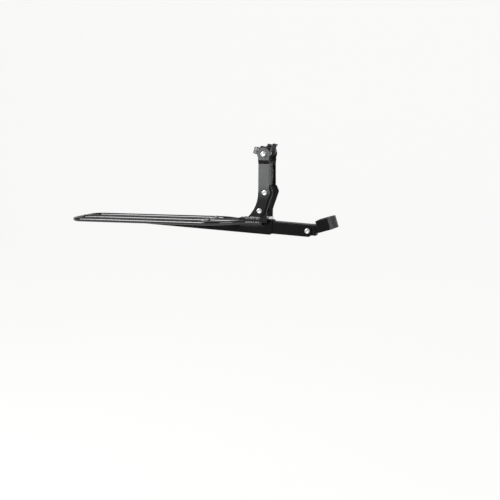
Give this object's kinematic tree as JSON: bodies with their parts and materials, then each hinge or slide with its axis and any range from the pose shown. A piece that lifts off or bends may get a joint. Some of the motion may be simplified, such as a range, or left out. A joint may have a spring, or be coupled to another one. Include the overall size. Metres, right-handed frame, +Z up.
{
  "type": "rear_rack",
  "caption": "Black steel rear bicycle rack that clamps to the seatpost and the saddle rails, with a rod deck on a tapered beam and a sliding front tube",
  "frame": {"origin": "Middle of the seatpost clamp, on the axis of the post", "axes": "+X forward along the bicycle, +Y to its left, +Z up"},
  "size_m": [0.5381, 0.116, 0.1772],
  "materials": {
    "black_paint": "satin",
    "upright_paint": "satin",
    "cap_paint": "satin",
    "zinc_steel": "satin",
    "grey_alloy": "satin",
    "black_plastic": "matte"
  },
  "bodies": {
    "rack": {"platform_loop": "black_paint", "centre_rod": "black_paint", "cross_rods": "black_paint", "main_beam": "black_paint", "lock_boss": "black_paint", "foot_bracket_right": "upright_paint", "foot_bracket_left": "upright_paint", "upright_arm_right": "upright_paint", "upright_arm_left": "upright_paint", "arm_bridge": "upright_paint", "upright_bolts": "zinc_steel", "upright_washers": "zinc_steel", "upright_nuts": "zinc_steel", "head_bolts": "zinc_steel", "head_washers": "zinc_steel", "head_nuts": "zinc_steel"},
    "lock": {"lock_bolt": "zinc_steel"},
    "extension": {"extension_tube": "black_paint", "tube_plug": "black_plastic", "tilt_bolt": "zinc_steel", "tilt_washers": "zinc_steel", "tilt_nut": "zinc_steel"},
    "post_clamp": {"hinge_tongue": "black_paint", "clamp_block": "black_paint", "clamp_screws": "zinc_steel"},
    "post_cap": {"clamp_cap": "cap_paint"},
    "rail_clamp_right": {"rail_hook_right": "black_paint"},
    "rail_clamp_left": {"rail_hook_left": "black_paint"},
    "clamp_knob_right": {"rail_screw_right": "grey_alloy"},
    "clamp_knob_left": {"rail_screw_left": "grey_alloy"}
  },
  "joints": [
    {"name": "length_adjust", "type": "slide", "parent": "rack", "child": "extension", "axis": [0.9985, 0, -0.0553], "range_m": [-0.017, 0.02]},
    {"name": "clamp_tilt", "type": "hinge", "parent": "extension", "child": "post_clamp", "pos_m": [-0.037, 0, -0.0138], "axis": [0, 1, 0], "range_deg": [-8, 8]},
    {"name": "cap_open", "type": "slide", "parent": "post_clamp", "child": "post_cap", "axis": [0.9563, 0, 0.2924], "range_m": [0, 0.004]},
    {"name": "rail_tilt_right", "type": "hinge", "parent": "rack", "child": "rail_clamp_right", "pos_m": [-0.1198, -0.0215, 0.132], "axis": [0, 1, 0], "range_deg": [-15, 15]},
    {"name": "rail_tilt_left", "type": "hinge", "parent": "rack", "child": "rail_clamp_left", "pos_m": [-0.1198, 0.0215, 0.132], "axis": [0, 1, 0], "range_deg": [-15, 15]},
    {"name": "knob_turn_right", "type": "hinge", "parent": "rail_clamp_right", "child": "clamp_knob_right", "pos_m": [-0.13441, -0.0195, 0.14022], "axis": [0.2079, 0, 0.9781], "range_deg": [-180, 180]},
    {"name": "knob_turn_left", "type": "hinge", "parent": "rail_clamp_left", "child": "clamp_knob_left", "pos_m": [-0.13441, 0.0195, 0.14022], "axis": [0.2079, 0, 0.9781], "range_deg": [-180, 180]},
    {"name": "lock_turn", "type": "hinge", "parent": "rack", "child": "lock", "pos_m": [-0.11508, 0, -0.00948], "axis": [0.0553, 0, 0.9985], "range_deg": [-180, 180]}
  ]
}
